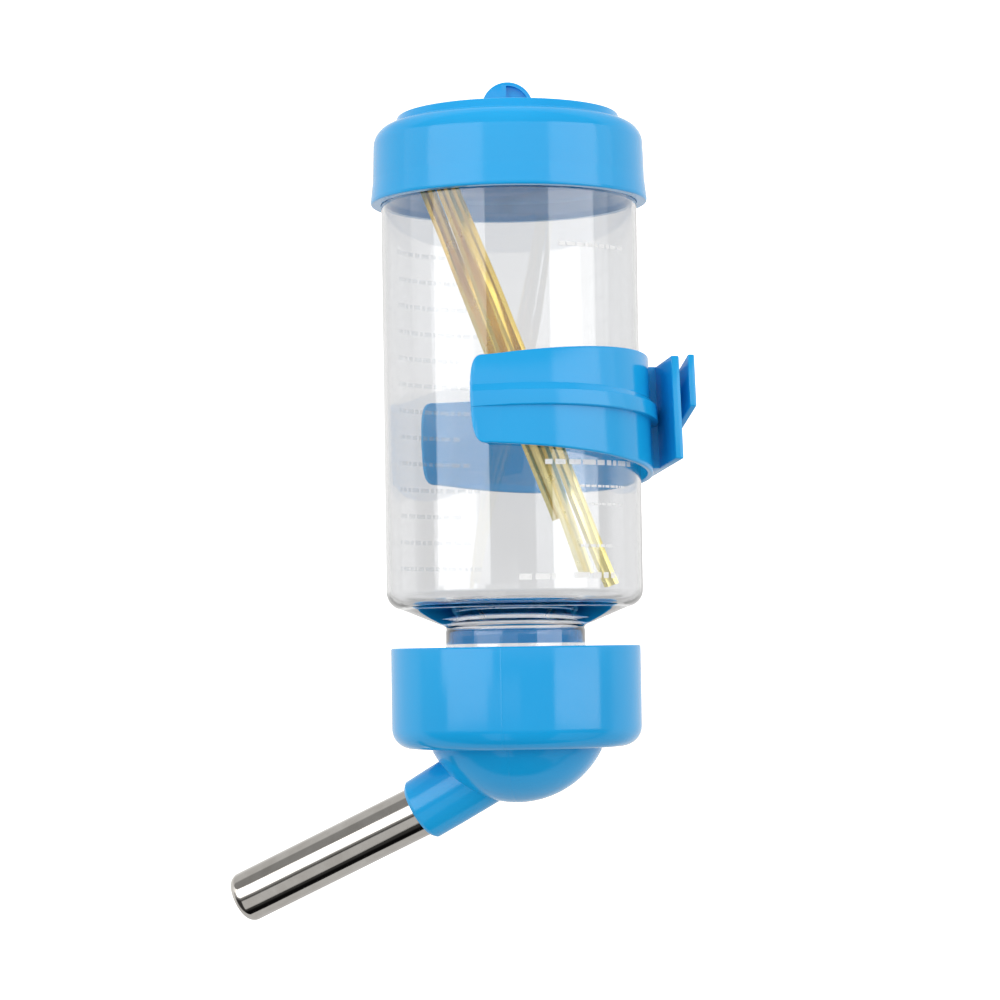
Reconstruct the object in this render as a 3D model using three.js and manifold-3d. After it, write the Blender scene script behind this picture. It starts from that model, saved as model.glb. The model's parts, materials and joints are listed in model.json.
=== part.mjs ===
// A hanging water bottle for rabbits and other small animals, held on cage wires by a clip-on bracket.
// Units are millimetres and +Z is up, along the bottle's axis. The root group puts the origin at the centre
// of the cage clip's outer face, with +X pointing out of that face. Everything else is laid out from the
// bottle's own datum: r is the distance from the bottle's axis, and z = 0 is the underside of the cap's
// floor.
import * as THREE from "three";
import { mergeVertices } from "three/addons/utils/BufferGeometryUtils.js";
import Module from "manifold-3d";

const wasm = await Module();
wasm.setup();

// ---------------------------------------------------------------- driving dimensions
const SEGMENTS = 40; // sides of a large round part
const SMALL_SEGMENTS = 24; // sides of the drinking tube and its fittings
const THREAD_STEPS = 24; // sides of one turn of a screw thread

const bottle = {
  radius: 33,
  wall: 1.6,
  rimZ: 159, // top of the filling mouth
  finishRadius: 30.4, // threaded mouth under the lid
  shoulderZ: 146,
  baseZ: 35.8, // where the funnel begins
  baseCorner: 4.5,
  neckRadius: 18.1,
  neckWall: 1.8,
  neckTopZ: 30.4,
  neckEndZ: 3.6,
};
const lid = {
  rimZ: 141.4,
  rimRadius: 35.7,
  sideRadius: 34.9,
  ledgeZ: 162.6,
  ledgeRadius: 29.4,
  discZ: 164.4,
  shoulderRound: 5.2,
  boreRadius: 33.1,
  threadBore: 32.5,
  ceilingZ: 160.7,
  recessZ: 161.9,
  recessRadius: 26,
};
const eye = { radius: 6.7, centreZ: 167.2, thickness: 5, yaw: -0.2, hole: 1.6, pocketDepth: 1.7 };
const cap = {
  radius: 32.4,
  rimZ: 26,
  wall: 1.8,
  floor: 2.2,
  corner: 5.2,
  collarBore: 20.1,
  collarWall: 1.8,
  collarZ: 16,
  throat: 16.5,
  domeRadius: 24.6,
  domeCentreZ: 10.3,
  domeWall: 2,
};
const lidThread = { pitch: 4, starts: 2, turns: 0.6, bead: 1.3, z: 150 };
const neckThread = { pitch: 4, starts: 2, turns: 0.7, bead: 1.15, z: 6.8 };
const seal = { width: 3, gap: 0.1 };
const spout = {
  azimuth: (152 * Math.PI) / 180, // from +X, about the bottle's axis
  socketDip: (29.9 * Math.PI) / 180, // below the horizontal
  tubeDip: (25.2 * Math.PI) / 180, // the tube sits a little flatter than its socket
  socketRadius: 8.3,
  socketLength: 30.5, // from the bottle's axis to the mouth
  socketStartZ: -1.2,
  boreRadius: 7.15,
  boreDepth: 9.5,
  passage: 5,
  tubeRadius: 6.7,
  tubeWall: 0.5,
  tubeReach: 55.2, // mouth of the socket to the tip
  tubeInsert: 9,
  lipRound: 2.6,
  ballRadius: 5.7,
};
const bracket = {
  centreZ: 84.3,
  roll: (-6 * Math.PI) / 180, // the loose clip hangs rolled about its own outward axis
  bore: 34.6,
  wall: 1.5,
  openHalfAngle: (60.5 * Math.PI) / 180,
  rootHalfHeight: 15.6,
  endHalfHeight: 11.2,
  ribLow: -2,
  ribHigh: 3.5,
  ribProud: 2,
  plateX: 37.9,
  plateThickness: 2.2,
  plateHalfWidth: 20,
  plateLow: -13,
  plateHigh: 14,
  wingX: 42.9,
  wingThickness: 1.8,
  wingHalfWidth: 18.5,
  wingTop: 14.7,
  wingBottom: 1,
  wingDrop: 4.8, // how far the wings fall from their ends to the middle
};
const tie = { width: 4, thickness: 0.5 };
const CLIP_FACE_X = bracket.wingX + bracket.wingThickness;

// ---------------------------------------------------------------- materials
const finish = (color, roughness, metalness = 0, opacity = 1) =>
  new THREE.MeshStandardMaterial({ color, roughness, metalness, opacity, transparent: opacity < 1 });
const materials = {
  bluePlastic: finish(0x2ba5e6, 0.3),
  clearPlastic: finish(0xeef1f4, 0.08, 0, 0.35),
  silicone: finish(0xe6edf0, 0.6),
  steel: finish(0xb9b4ad, 0.18, 1),
  whitePlastic: finish(0xf0f0ec, 0.45),
  goldFoil: finish(0xd8a62c, 0.25, 1),
};

// ---------------------------------------------------------------- geometry helpers
const at = (r, z) => new THREE.Vector2(r, z);

// Points of an arc in a profile, from one angle to another, in degrees.
function arc(centreR, centreZ, radius, from, to, steps) {
  return Array.from({ length: steps + 1 }, (_, i) => {
    const a = THREE.MathUtils.degToRad(from + ((to - from) * i) / steps);
    return at(centreR + radius * Math.cos(a), centreZ + radius * Math.sin(a));
  });
}

// A profile of (r, z) points, going up its outer side, turned round the Z axis.
function turned(points, segments = SEGMENTS) {
  return new THREE.LatheGeometry(points, segments).rotateX(Math.PI / 2);
}

// A ring of rectangular section.
function ring(inner, outer, low, high, segments = SEGMENTS) {
  return turned([at(inner, low), at(outer, low), at(outer, high), at(inner, high), at(inner, low)], segments);
}

// A flat outline pushed up from z = low to z = high.
function prism(shape, low, high, curveSegments = 12) {
  const options = { depth: high - low, bevelEnabled: false, curveSegments };
  return new THREE.ExtrudeGeometry(shape, options).translate(0, 0, low);
}

// A box between two corners.
function block(x0, x1, y0, y1, z0, z1) {
  const box = new THREE.BoxGeometry(x1 - x0, y1 - y0, z1 - z0);
  return box.translate((x0 + x1) / 2, (y0 + y1) / 2, (z0 + z1) / 2);
}

class Helix extends THREE.Curve {
  constructor(radius, lead, turns, startAngle, startZ) {
    super();
    Object.assign(this, { radius, lead, turns, startAngle, startZ });
  }
  getPoint(t) {
    const angle = this.startAngle + 2 * Math.PI * this.turns * t;
    const z = this.startZ + this.lead * this.turns * t;
    return new THREE.Vector3(this.radius * Math.cos(angle), this.radius * Math.sin(angle), z);
  }
}

// The round thread beads of one screw joint, as one geometry for each start.
function threadBeads({ pitch, starts, turns, bead, z }, radius, rise) {
  const section = new THREE.Shape().absarc(0, 0, bead, 0, 2 * Math.PI);
  const steps = Math.round(turns * THREAD_STEPS);
  return Array.from({ length: starts }, (_, i) => {
    const extrudePath = new Helix(radius, pitch * starts, turns, (2 * Math.PI * i) / starts, z + rise);
    return new THREE.ExtrudeGeometry(section, { steps, extrudePath, bevelEnabled: false, curveSegments: 3 });
  });
}

// Boolean work: a geometry becomes a manifold-3d solid, and back.
function solid(geometry) {
  const bare = geometry.index ? geometry.toNonIndexed() : geometry.clone();
  bare.deleteAttribute("normal");
  bare.deleteAttribute("uv");
  const merged = mergeVertices(bare, 1e-4);
  const mesh = new wasm.Mesh({
    numProp: 3,
    vertProperties: merged.attributes.position.array,
    triVerts: new Uint32Array(merged.index.array),
  });
  return new wasm.Manifold(mesh);
}
const joined = (...geometries) => geometries.map(solid).reduce((sum, next) => sum.add(next));
const cut = (body, ...geometries) => geometries.map(solid).reduce((left, tool) => left.subtract(tool), body);

function geometryOf(body) {
  const { vertProperties, triVerts, numProp } = body.getMesh();
  const positions = new Float32Array((vertProperties.length / numProp) * 3);
  for (let i = 0; i < positions.length / 3; i++) {
    positions.set(vertProperties.subarray(i * numProp, i * numProp + 3), i * 3);
  }
  return new THREE.BufferGeometry()
    .setAttribute("position", new THREE.BufferAttribute(positions, 3))
    .setIndex(new THREE.BufferAttribute(triVerts, 1));
}

function piece(name, shape, material) {
  const mesh = new THREE.Mesh(shape.isBufferGeometry ? shape : geometryOf(shape), material);
  mesh.name = name;
  return mesh;
}

// ---------------------------------------------------------------- bottle
// The funnel between the body and the neck, as its outer curve: it flares out as it rises.
function funnel(offset) {
  const { neckRadius, neckTopZ, baseZ, radius, baseCorner } = bottle;
  const outer = radius - baseCorner;
  return Array.from({ length: 5 }, (_, i) => {
    const t = i / 4;
    const r = THREE.MathUtils.lerp(neckRadius, outer, t ** 1.15);
    return at(r - offset * (1 - t), THREE.MathUtils.lerp(neckTopZ, baseZ, t ** 0.75) + offset * t);
  });
}

function bottleShell() {
  const b = bottle;
  const inner = b.radius - b.wall;
  const mouth = b.finishRadius - b.wall;
  const profile = [
    at(b.neckRadius - b.neckWall, b.neckEndZ),
    at(b.neckRadius, b.neckEndZ),
    ...funnel(0),
    ...arc(b.radius - b.baseCorner, b.baseZ + b.baseCorner, b.baseCorner, -70, 0, 4),
    ...arc(b.radius - 1.5, b.shoulderZ - 1.5, 1.5, 0, 90, 3),
    at(b.finishRadius, b.shoulderZ),
    at(b.finishRadius, b.rimZ),
    at(mouth, b.rimZ),
    at(mouth, b.shoulderZ),
    at(inner, b.shoulderZ - b.wall - 2),
    ...arc(inner - 3, b.baseZ + b.wall + 3, 3, 0, -80, 3),
    ...funnel(b.neckWall).reverse(),
    at(b.neckRadius - b.neckWall, b.neckEndZ),
  ];
  const beads = [
    ...threadBeads(lidThread, b.finishRadius, 0),
    ...threadBeads(neckThread, b.neckRadius + 0.1, 0),
  ];
  return joined(turned(profile), ...beads);
}

// ---------------------------------------------------------------- lid
function lidShell() {
  const l = lid;
  const shoulderZ = l.ledgeZ - l.shoulderRound;
  const profile = [
    at(0, l.recessZ),
    at(l.recessRadius, l.recessZ),
    at(l.recessRadius, l.ceilingZ),
    at(l.threadBore, l.ceilingZ),
    at(l.threadBore, bottle.shoulderZ + 1.2),
    at(l.boreRadius, bottle.shoulderZ + 0.4),
    at(l.boreRadius, l.rimZ),
    at(l.rimRadius - 0.4, l.rimZ),
    at(l.rimRadius, l.rimZ + 0.8),
    at(l.sideRadius + 0.4, l.rimZ + 3),
    ...arc(l.sideRadius - l.shoulderRound, shoulderZ, l.shoulderRound, 0, 90, 5),
    at(l.ledgeRadius, l.ledgeZ),
    at(l.ledgeRadius - 0.3, l.discZ - 0.5),
    at(l.ledgeRadius - 1, l.discZ),
    at(0, l.discZ),
  ];
  const beads = threadBeads(lidThread, l.threadBore, lidThread.pitch / 2);
  return hangingEye(joined(turned(profile), ...beads));
}

// The half-round eye on top: a tab with a pocket in each face, meeting in a hole for a cord.
function hangingEye(body) {
  const outline = new THREE.Shape();
  outline.moveTo(-eye.radius, lid.discZ - 1);
  outline.lineTo(eye.radius, lid.discZ - 1);
  outline.lineTo(eye.radius, eye.centreZ);
  outline.absarc(0, eye.centreZ, eye.radius, 0, Math.PI);
  const upright = (geometry) => geometry.rotateX(Math.PI / 2).rotateZ(eye.yaw);
  const tab = upright(prism(outline, -eye.thickness / 2, eye.thickness / 2, 16));
  const pocketBottom = lid.discZ + 1.4;
  const pocketTop = eye.centreZ + eye.radius - 1.9;
  const pocket = (x0, x1, y0, y1) => block(x0, x1, y0, y1, pocketBottom, pocketTop).rotateZ(eye.yaw);
  const face = eye.thickness / 2;
  const front = pocket(-0.5, 4.1, -face - 1, eye.pocketDepth - face);
  const back = pocket(-4.1, 0.5, face - eye.pocketDepth, face + 1);
  const drill = new THREE.CylinderGeometry(eye.hole, eye.hole, eye.thickness + 2, 12);
  const hole = upright(drill.rotateX(Math.PI / 2));
  return cut(body.add(solid(tab)), front, back, hole.translate(0, 0, pocketBottom + eye.hole));
}

// ---------------------------------------------------------------- screw cap with dome and spout socket
// The way the spout points, for a dip below the horizontal: its socket and its tube dip differently.
const spoutDirection = (dip) =>
  new THREE.Vector3(
    Math.cos(spout.azimuth) * Math.cos(dip),
    Math.sin(spout.azimuth) * Math.cos(dip),
    -Math.sin(dip),
  );
const socketMouth = spoutDirection(spout.socketDip)
  .multiplyScalar(spout.socketLength)
  .add(new THREE.Vector3(0, 0, spout.socketStartZ));

// Turns a geometry made along +Z so that it runs along the spout, with its z = 0 at the socket's mouth.
function alongSpout(geometry, dip) {
  const up = new THREE.Vector3(0, 0, 1);
  const turn = new THREE.Quaternion().setFromUnitVectors(up, spoutDirection(dip));
  return geometry.applyQuaternion(turn).translate(socketMouth.x, socketMouth.y, socketMouth.z);
}
const rod = (radius, low, high) =>
  turned([at(0, low), at(radius, low), at(radius, high), at(0, high)], SMALL_SEGMENTS);

function spoutCap() {
  const c = cap;
  const inner = c.radius - c.wall;
  const collarOuter = c.collarBore + c.collarWall;
  const chordAngle = THREE.MathUtils.radToDeg(Math.asin(c.domeCentreZ / c.domeRadius));
  const outside = [
    ...arc(0, c.domeCentreZ, c.domeRadius, -90, -chordAngle, 8),
    ...arc(c.radius - c.corner, c.corner, c.corner, -90, 0, 5),
    at(c.radius, c.rimZ - 0.4),
    at(c.radius - 0.4, c.rimZ),
    at(inner, c.rimZ),
    ...arc(inner - 3.2, c.floor + 3.2, 3.2, 0, -90, 3),
    at(collarOuter, c.floor),
    at(collarOuter, c.collarZ),
    at(c.collarBore, c.collarZ),
    at(c.collarBore, c.floor),
    at(0, c.floor),
  ];
  const cavity = c.domeRadius - c.domeWall;
  const throatAngle = THREE.MathUtils.radToDeg(Math.acos(c.throat / cavity));
  const hollow = [
    ...arc(0, c.domeCentreZ, cavity, -90, -throatAngle, 6),
    at(c.throat, c.collarZ),
    at(0, c.collarZ),
  ];
  const beads = threadBeads(neckThread, c.collarBore, neckThread.pitch / 2);
  const socket = alongSpout(rod(spout.socketRadius, 4 - spout.socketLength, 0), spout.socketDip);
  const bore = alongSpout(rod(spout.boreRadius, -spout.boreDepth, 1), spout.tubeDip);
  const passage = alongSpout(rod(spout.passage, -spout.boreDepth - 12, 0), spout.tubeDip);
  return cut(joined(turned(outside), ...beads, socket), turned(hollow), bore, passage);
}

// ---------------------------------------------------------------- drinking tube and its balls
// The tube's profile runs down the outside from the inner end and back up the inside: it is open at both
// ends, with a rolled lip at the tip that the ball rests against.
function drinkTube() {
  const s = spout;
  const inner = s.tubeRadius - s.tubeWall;
  const tip = s.tubeReach;
  const outerLip = arc(s.tubeRadius - s.lipRound, tip - s.lipRound, s.lipRound, 0, 90, 5);
  const innerLip = arc(s.tubeRadius - s.lipRound, tip - s.lipRound, s.lipRound - s.tubeWall, 90, 0, 4);
  const end = at(inner, -s.tubeInsert);
  return turned([end, at(s.tubeRadius, -s.tubeInsert), ...outerLip, ...innerLip, end], SMALL_SEGMENTS);
}

// How far back from the tip a ball's centre sits when it rests on the rolled lip.
const lipTubeCentre = at(spout.tubeRadius - spout.lipRound, spout.tubeReach - spout.lipRound);
const seatDistance = spout.ballRadius + 0.15;
const lipInnerEdge = at(lipTubeCentre.x, spout.tubeReach - spout.tubeWall);
const tipBallZ = lipInnerEdge.y - Math.sqrt(seatDistance ** 2 - lipInnerEdge.x ** 2);
const rearBallZ = tipBallZ - 2 * spout.ballRadius - 0.15;

function ball() {
  return new THREE.SphereGeometry(spout.ballRadius, 16, 10);
}

// A cross in a ring, pushed into the tube's inner end so that the balls can't fall back into the bottle.
function ballStop() {
  const outer = spout.tubeRadius - spout.tubeWall - 0.08;
  const low = -spout.tubeInsert + 0.6;
  const high = low + 6;
  const reach = outer - 0.6;
  const arm = () => block(-reach, reach, -0.6, 0.6, low, high - 2);
  return joined(ring(outer - 1, outer, low, high, SMALL_SEGMENTS), arm(), arm().rotateZ(Math.PI / 2));
}

// A soft bush that seals the tube in its socket.
function tubeBush() {
  const inner = spout.tubeRadius + 0.08;
  const outer = spout.boreRadius - 0.08;
  return ring(inner, outer, -spout.tubeInsert, -0.4, SMALL_SEGMENTS);
}

// ---------------------------------------------------------------- bracket
// An open ring seen from above, from the inner radius to an outer circle that may sit off centre.
function openRing(inner, outer, outerShift) {
  const half = Math.PI - bracket.openHalfAngle;
  const shape = new THREE.Shape();
  shape.absarc(outerShift, 0, outer, -half, half, false);
  shape.absarc(0, 0, inner, half, -half, true);
  return shape;
}

function clipBracket() {
  const k = bracket;
  const outer = k.bore + k.wall;
  const band = solid(prism(openRing(k.bore, outer, 0), -20, 20, 44)).intersect(solid(bandSideView(outer)));
  const rib = prism(openRing(k.bore + 0.4, outer + k.ribProud / 2, k.ribProud / 2), k.ribLow, k.ribHigh, 44);
  const plateOuter = k.plateX + k.plateThickness;
  const plate = block(k.plateX, plateOuter, -k.plateHalfWidth, k.plateHalfWidth, k.plateLow, k.plateHigh);
  const root = block(outer - 0.8, k.plateX + 1, -5, 5, k.plateLow, k.plateHigh);
  const webLow = k.wingBottom - k.wingDrop + 1.5;
  const webHigh = k.wingTop - k.wingDrop - 1;
  const web = block(plateOuter - 0.5, k.wingX + 0.5, -2.5, 2.5, webLow, webHigh);
  return band.add(joined(rib, plate, root, web, clipWings()));
}

// The band from the side: tall at the root and low at its two free ends, which are rounded.
function bandSideView(outer) {
  const k = bracket;
  const tip = -outer * Math.cos(k.openHalfAngle);
  const shape = new THREE.Shape();
  shape.moveTo(outer + 1, -k.rootHalfHeight);
  shape.lineTo(outer + 1, k.rootHalfHeight);
  shape.lineTo(tip + 4, k.endHalfHeight);
  shape.quadraticCurveTo(tip + 0.4, k.endHalfHeight - 0.6, tip, 0);
  shape.quadraticCurveTo(tip + 0.4, 0.6 - k.endHalfHeight, tip + 4, -k.endHalfHeight);
  return prism(shape, -40, 40, 8).rotateX(Math.PI / 2);
}

// The outer plate of the clip: two wings that rise from the middle like a shallow V.
function clipWings() {
  const k = bracket;
  const shape = new THREE.Shape();
  shape.moveTo(0, k.wingBottom - k.wingDrop);
  shape.lineTo(k.wingHalfWidth, k.wingBottom);
  shape.lineTo(k.wingHalfWidth, k.wingTop);
  shape.lineTo(0, k.wingTop - k.wingDrop);
  shape.lineTo(-k.wingHalfWidth, k.wingTop);
  shape.lineTo(-k.wingHalfWidth, k.wingBottom);
  shape.closePath();
  // The outline's x runs across the clip and its y runs up.
  const facing = new THREE.Matrix4().makeBasis(
    new THREE.Vector3(0, 1, 0),
    new THREE.Vector3(0, 0, 1),
    new THREE.Vector3(1, 0, 0),
  );
  return prism(shape, k.wingX, k.wingX + k.wingThickness).applyMatrix4(facing);
}

// ---------------------------------------------------------------- foil ties kept inside the bottle
// A flat strip from one point to another, bowed a little at its middle.
function foilTie(top, bottom, bow) {
  const middle = top.clone().lerp(bottom, 0.5).add(bow);
  const extrudePath = new THREE.QuadraticBezierCurve3(top, middle, bottom);
  const section = new THREE.Shape();
  section.moveTo(-tie.thickness / 2, -tie.width / 2);
  section.lineTo(tie.thickness / 2, -tie.width / 2);
  section.lineTo(tie.thickness / 2, tie.width / 2);
  section.lineTo(-tie.thickness / 2, tie.width / 2);
  section.closePath();
  return new THREE.ExtrudeGeometry(section, { steps: 8, extrudePath, bevelEnabled: false });
}

// ---------------------------------------------------------------- assembly
const model = new THREE.Group();
model.position.set(-CLIP_FACE_X, 0, -bracket.centreZ);

model.add(piece("bottle_shell", bottleShell(), materials.clearPlastic));
model.add(piece("lid", lidShell(), materials.bluePlastic));
const lidSealLow = bottle.rimZ + seal.gap;
const lidSealInner = bottle.finishRadius - seal.width;
const lidSeal = ring(lidSealInner, bottle.finishRadius, lidSealLow, lid.ceilingZ - seal.gap);
model.add(piece("lid_seal", lidSeal, materials.silicone));

model.add(piece("spout_cap", spoutCap(), materials.bluePlastic));
const neckSealLow = cap.floor + seal.gap;
const neckSeal = ring(cap.throat + 0.2, cap.collarBore - 0.3, neckSealLow, bottle.neckEndZ - seal.gap);
model.add(piece("neck_seal", neckSeal, materials.silicone));

model.add(piece("drink_tube", alongSpout(drinkTube(), spout.tubeDip), materials.steel));
model.add(piece("tube_bush", alongSpout(tubeBush(), spout.tubeDip), materials.silicone));
model.add(piece("ball_stop", alongSpout(geometryOf(ballStop()), spout.tubeDip), materials.whitePlastic));
model.add(piece("tip_ball", alongSpout(ball().translate(0, 0, tipBallZ), spout.tubeDip), materials.steel));
model.add(piece("rear_ball", alongSpout(ball().translate(0, 0, rearBallZ), spout.tubeDip), materials.steel));

const clip = piece("bracket", clipBracket(), materials.bluePlastic);
clip.position.z = bracket.centreZ;
clip.rotation.x = bracket.roll;
model.add(clip);

// Three gold foil ties lean across the bottle, from its mouth on one side to its foot on the other.
const point = (x, y, z) => new THREE.Vector3(x, y, z);
const ties = [
  [point(-24.2, -2.4, 151), point(8.9, -10.4, 58.6), point(0, 0.4, 0)],
  [point(-20.8, -5.3, 153), point(15.2, -13.9, 44), point(-1, 0, 0)],
  [point(-18.4, -8, 150), point(20.8, -17.4, 41), point(1, -0.4, 0)],
];
ties.forEach(([top, bottom, bow], i) => {
  model.add(piece(`foil_tie_${i + 1}`, foilTie(top, bottom, bow), materials.goldFoil));
});

const root = new THREE.Group();
root.add(model);

export default root;
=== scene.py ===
import json
import math
import random

import bmesh
import bpy
from mathutils import Matrix, Vector, noise


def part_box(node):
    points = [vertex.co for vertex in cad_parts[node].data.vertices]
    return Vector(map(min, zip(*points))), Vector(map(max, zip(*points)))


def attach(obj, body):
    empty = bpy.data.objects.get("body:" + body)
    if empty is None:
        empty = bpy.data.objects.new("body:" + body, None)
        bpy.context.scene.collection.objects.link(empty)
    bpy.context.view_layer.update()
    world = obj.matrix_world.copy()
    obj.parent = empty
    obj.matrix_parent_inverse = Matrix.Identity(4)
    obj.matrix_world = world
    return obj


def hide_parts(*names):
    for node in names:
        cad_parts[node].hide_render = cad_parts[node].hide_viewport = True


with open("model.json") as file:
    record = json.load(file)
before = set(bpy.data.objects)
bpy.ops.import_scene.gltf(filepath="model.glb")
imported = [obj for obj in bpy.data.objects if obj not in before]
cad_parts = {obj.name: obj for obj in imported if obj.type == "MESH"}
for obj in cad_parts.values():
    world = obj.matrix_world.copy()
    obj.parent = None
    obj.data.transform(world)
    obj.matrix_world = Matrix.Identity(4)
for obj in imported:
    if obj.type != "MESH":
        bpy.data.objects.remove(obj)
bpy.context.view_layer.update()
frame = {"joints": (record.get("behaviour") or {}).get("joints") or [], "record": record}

MM = 0.001
TAU = 2 * math.pi
DRAW = random.Random(7)

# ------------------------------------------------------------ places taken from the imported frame
RECORD = frame["record"]
JOINTS = {j["name"]: j for j in frame["joints"]}
MOUNTS = {m["name"]: m for m in RECORD["mounts"]}
CUP_HEIGHT = 26.0  # mm, from the underside of the cap's floor to the cup's rim

AXIS_X = JOINTS["bottle_turn"]["pos_m"][0]
CUP_RIM_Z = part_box("spout_cap")[1].z
# The bottle's datum: its axis, at the underside of the cap's floor. Profiles are (r, z) in mm
# from here.
DATUM = Vector((AXIS_X, 0, CUP_RIM_Z - CUP_HEIGHT * MM))


def above(z):
    """Height over the datum, in mm, of a height in the scene."""
    return (z - DATUM.z) / MM


def reach(node):
    """How far a node reaches along +X from the bottle's axis, in mm."""
    return (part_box(node)[1].x - AXIS_X) / MM


LID_RIM = above(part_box("lid")[0].z)
EYE_TOP = above(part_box("lid")[1].z)
DISC = above(MOUNTS["lid_top"]["pos_m"][2])
LID_R = reach("lid")
BULGE = 0.3  # how far the blown wall stands out from the CAD shell
BOTTLE_R = reach("bottle_shell") + BULGE
BOTTLE_TOP = above(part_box("bottle_shell")[1].z)
NECK_END = above(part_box("bottle_shell")[0].z)
CUP_R = reach("spout_cap")
SPOUT = -Vector(JOINTS["tip_ball_push"]["axis"]).normalized()

# The camera stands level with the cap, to the left of straight on.
CAMERA_AZIMUTH = -13.5
CAMERA_DISTANCE = 0.8
CAMERA_RISE = 25 * MM  # over the underside of the cap's floor
CAMERA_PITCH = math.radians(2.8)
CAMERA_PAN = math.radians(0.25)
CAMERA_ROLL = math.radians(-0.9)
FOCAL = 3.08  # image widths


# ------------------------------------------------------------ mesh helpers
def finished(name, bm, material, sharp=32):
    """A mesh object from a bmesh, with outward normals. Edges over sharp degrees stay hard."""
    bmesh.ops.recalc_face_normals(bm, faces=bm.faces)
    mesh = bpy.data.meshes.new(name)
    bm.to_mesh(mesh)
    bm.free()
    mesh.shade_smooth()
    mesh.set_sharp_from_angle(angle=math.radians(sharp))
    mesh.materials.append(material)
    obj = bpy.data.objects.new(name, mesh)
    bpy.context.scene.collection.objects.link(obj)
    return obj


def rounded(points, closed=False, steps=5):
    """A profile of (r, z) from corners of (r, z, corner radius)."""
    out = []
    count = len(points)
    for i, (r, z, radius) in enumerate(points):
        here = Vector((r, z))
        if radius <= 0 or (not closed and i in (0, count - 1)):
            out.append((r, z))
            continue
        back = (Vector(points[i - 1][:2]) - here).normalized()
        ahead = (Vector(points[(i + 1) % count][:2]) - here).normalized()
        half = back.angle(ahead) / 2
        centre = here + (back + ahead).normalized() * (radius / math.sin(half))
        start = here + back * (radius / math.tan(half)) - centre
        end = here + ahead * (radius / math.tan(half)) - centre
        a0 = math.atan2(start.y, start.x)
        turn = (math.atan2(end.y, end.x) - a0 + math.pi) % TAU - math.pi
        for k in range(steps + 1):
            a = a0 + turn * k / steps
            out.append((centre.x + radius * math.cos(a), centre.y + radius * math.sin(a)))
    return out


def arc(radius, start, end, steps, centre):
    """Points along part of a circle, from one angle to another."""
    x, y = centre
    angles = [start + (end - start) * k / steps for k in range(steps + 1)]
    return [(x + radius * math.cos(a), y + radius * math.sin(a)) for a in angles]


def filled(profile, step):
    """The same profile with extra points, so that no two are further apart than step."""
    out = [profile[0]]
    for r, z in profile[1:]:
        r0, z0 = out[-1]
        parts = max(1, math.ceil(math.hypot(r - r0, z - z0) / step))
        out += [(r0 + (r - r0) * k / parts, z0 + (z - z0) * k / parts) for k in range(1, parts + 1)]
    return out


def turned(profile, segments=160, closed=False, relief=None):
    """A bmesh of a profile turned round Z, in mm.
    relief(r, z, angle) gives the radius to use instead of r."""
    bm = bmesh.new()
    rows = []
    for r, z in profile:
        if r < 1e-6:
            rows.append([bm.verts.new((0, 0, z))])
            continue
        row = []
        for i in range(segments):
            a = TAU * i / segments
            rr = relief(r, z, a) if relief else r
            row.append(bm.verts.new((rr * math.cos(a), rr * math.sin(a), z)))
        rows.append(row)
    pairs = list(zip(rows, rows[1:]))
    if closed:
        pairs.append((rows[-1], rows[0]))
    for a, b in pairs:
        if len(a) == 1 and len(b) == 1:
            continue
        for i in range(segments):
            j = (i + 1) % segments
            if len(a) == 1:
                bm.faces.new((a[0], b[i], b[j]))
            elif len(b) == 1:
                bm.faces.new((a[i], a[j], b[0]))
            else:
                bm.faces.new((a[i], a[j], b[j], b[i]))
    return bm


def thread(z_start, lead, starts, turns, depth, half_width):
    """Height of a rounded screw thread over its wall, as a function of angle and z."""
    fade = 0.06  # turns over which each end of a ridge rises

    def height(angle, z):
        best = 0.0
        for s in range(starts):
            base = angle / TAU - s / starts
            for n in range(-1, math.ceil(turns) + 2):
                t = base + n
                inside = min(t, turns - t)
                if inside <= 0:
                    continue
                d = abs(z - (z_start + lead * t))
                if d < half_width:
                    run = min(1.0, inside / fade)
                    run = run * run * (3 - 2 * run)
                    best = max(best, depth * run * math.cos(math.pi * d / (2 * half_width)) ** 0.8)
        return best

    return height


def place(bm, matrix):
    bmesh.ops.transform(bm, matrix=matrix, verts=bm.verts)
    return bm


SCALE = Matrix.Scale(MM, 4)
ON_AXIS = Matrix.Translation(DATUM) @ SCALE


def boolean(obj, other, operation):
    """Joins or cuts obj with another mesh object, which is then removed."""
    step = obj.modifiers.new("cut", "BOOLEAN")
    step.operation = operation
    step.solver = "EXACT"
    step.object = other
    graph = bpy.context.evaluated_depsgraph_get()
    mesh = bpy.data.meshes.new_from_object(obj.evaluated_get(graph))
    obj.modifiers.clear()
    old = obj.data
    obj.data = mesh
    bpy.data.meshes.remove(old)
    data = other.data
    bpy.data.objects.remove(other)
    bpy.data.meshes.remove(data)
    obj.data.name = obj.name
    obj.data.shade_smooth()
    obj.data.set_sharp_from_angle(angle=math.radians(28))
    return obj


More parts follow.
